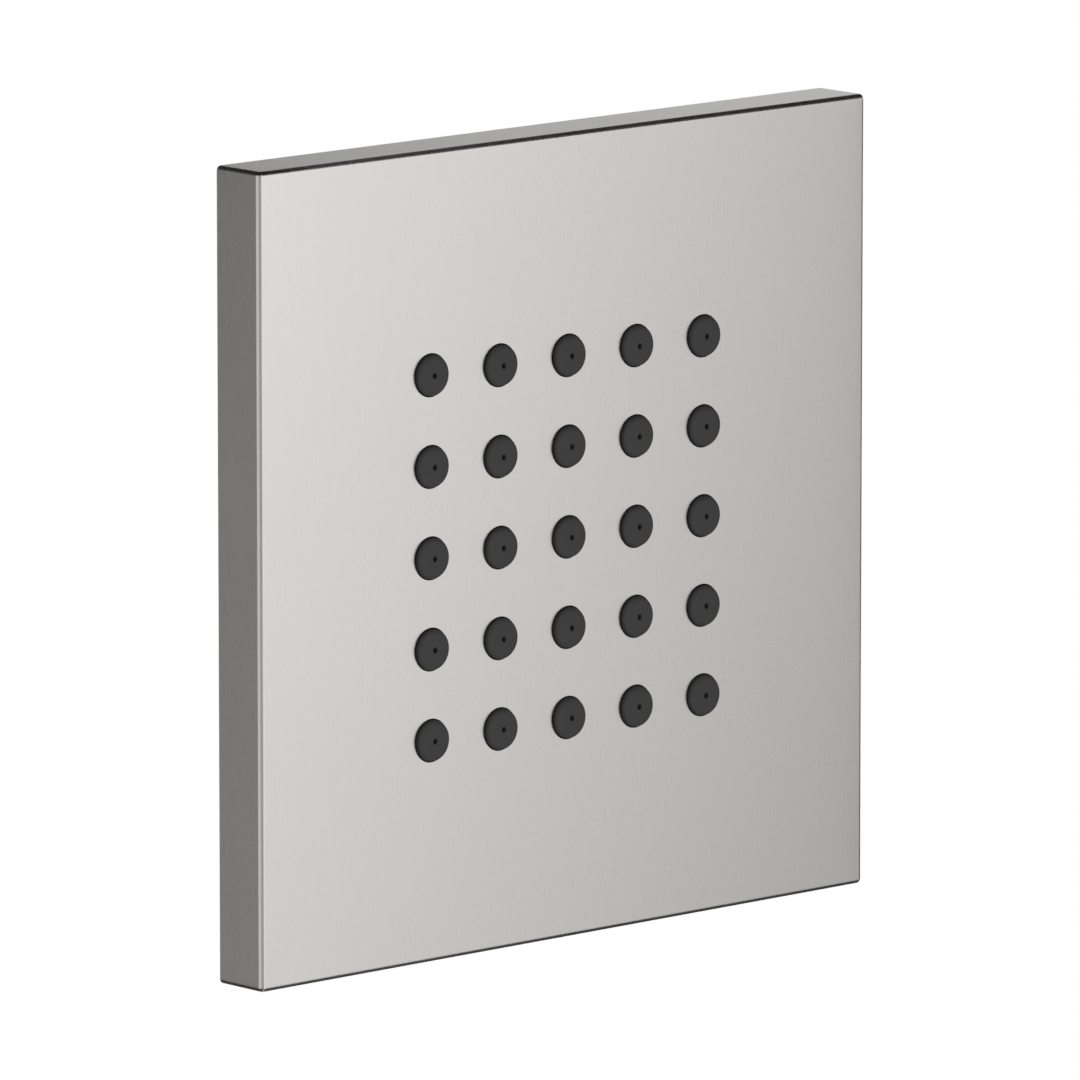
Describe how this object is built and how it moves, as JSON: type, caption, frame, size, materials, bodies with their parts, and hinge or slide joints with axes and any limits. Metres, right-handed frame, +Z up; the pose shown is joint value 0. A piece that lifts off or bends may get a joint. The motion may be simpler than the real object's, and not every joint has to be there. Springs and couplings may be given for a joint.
{
  "type": "shower body jet",
  "caption": "Square flat wall tile of satin metal with a grid of small silicone jets, over a shallow water chamber fed from a threaded inlet in the wall.",
  "frame": {"origin": "on the wall's surface, on the axis of the water inlet, at the middle of the square cover", "axes": "+Z up, +Y into the wall along the inlet, jets spray towards -Y"},
  "size_m": [0.12, 0.0453, 0.12],
  "materials": {
    "cover_metal": "fine vertical satin brushing, warm grey",
    "jet_silicone": "matt dark grey silicone",
    "white_plastic": "moulded, matt",
    "black_plastic": "moulded glass-filled plastic, fine grain",
    "seal_rubber": "smooth",
    "screw_steel": "turned stainless",
    "nipple_brass": "turned, bare",
    "bracket_steel": "cold rolled stainless sheet, punched and folded",
    "foam": "closed-cell foam"
  },
  "bodies": {
    "root": {"cover_plate": "cover_metal", "jet_retainer": "white_plastic", "chamber_back": "black_plastic", "chamber_seal": "seal_rubber", "chamber_screws": "screw_steel", "inlet_nipple": "nipple_brass", "nipple_ring_front": "seal_rubber", "nipple_ring_rear": "seal_rubber", "flow_limiter": "white_plastic", "limiter_ring": "seal_rubber", "strainer": "white_plastic", "wall_bracket": "bracket_steel", "set_screws": "screw_steel", "foam_seal": "foam", "jet_row1_col1": "jet_silicone", "jet_row1_col2": "jet_silicone", "jet_row1_col3": "jet_silicone", "jet_row1_col4": "jet_silicone", "jet_row1_col5": "jet_silicone", "jet_row2_col1": "jet_silicone", "jet_row2_col2": "jet_silicone", "jet_row2_col3": "jet_silicone", "jet_row2_col4": "jet_silicone", "jet_row2_col5": "jet_silicone", "jet_row3_col1": "jet_silicone", "jet_row3_col2": "jet_silicone", "jet_row3_col3": "jet_silicone", "jet_row3_col4": "jet_silicone", "jet_row3_col5": "jet_silicone", "jet_row4_col1": "jet_silicone", "jet_row4_col2": "jet_silicone", "jet_row4_col3": "jet_silicone", "jet_row4_col4": "jet_silicone", "jet_row4_col5": "jet_silicone", "jet_row5_col1": "jet_silicone", "jet_row5_col2": "jet_silicone", "jet_row5_col3": "jet_silicone", "jet_row5_col4": "jet_silicone", "jet_row5_col5": "jet_silicone"}
  },
  "joints": []
}
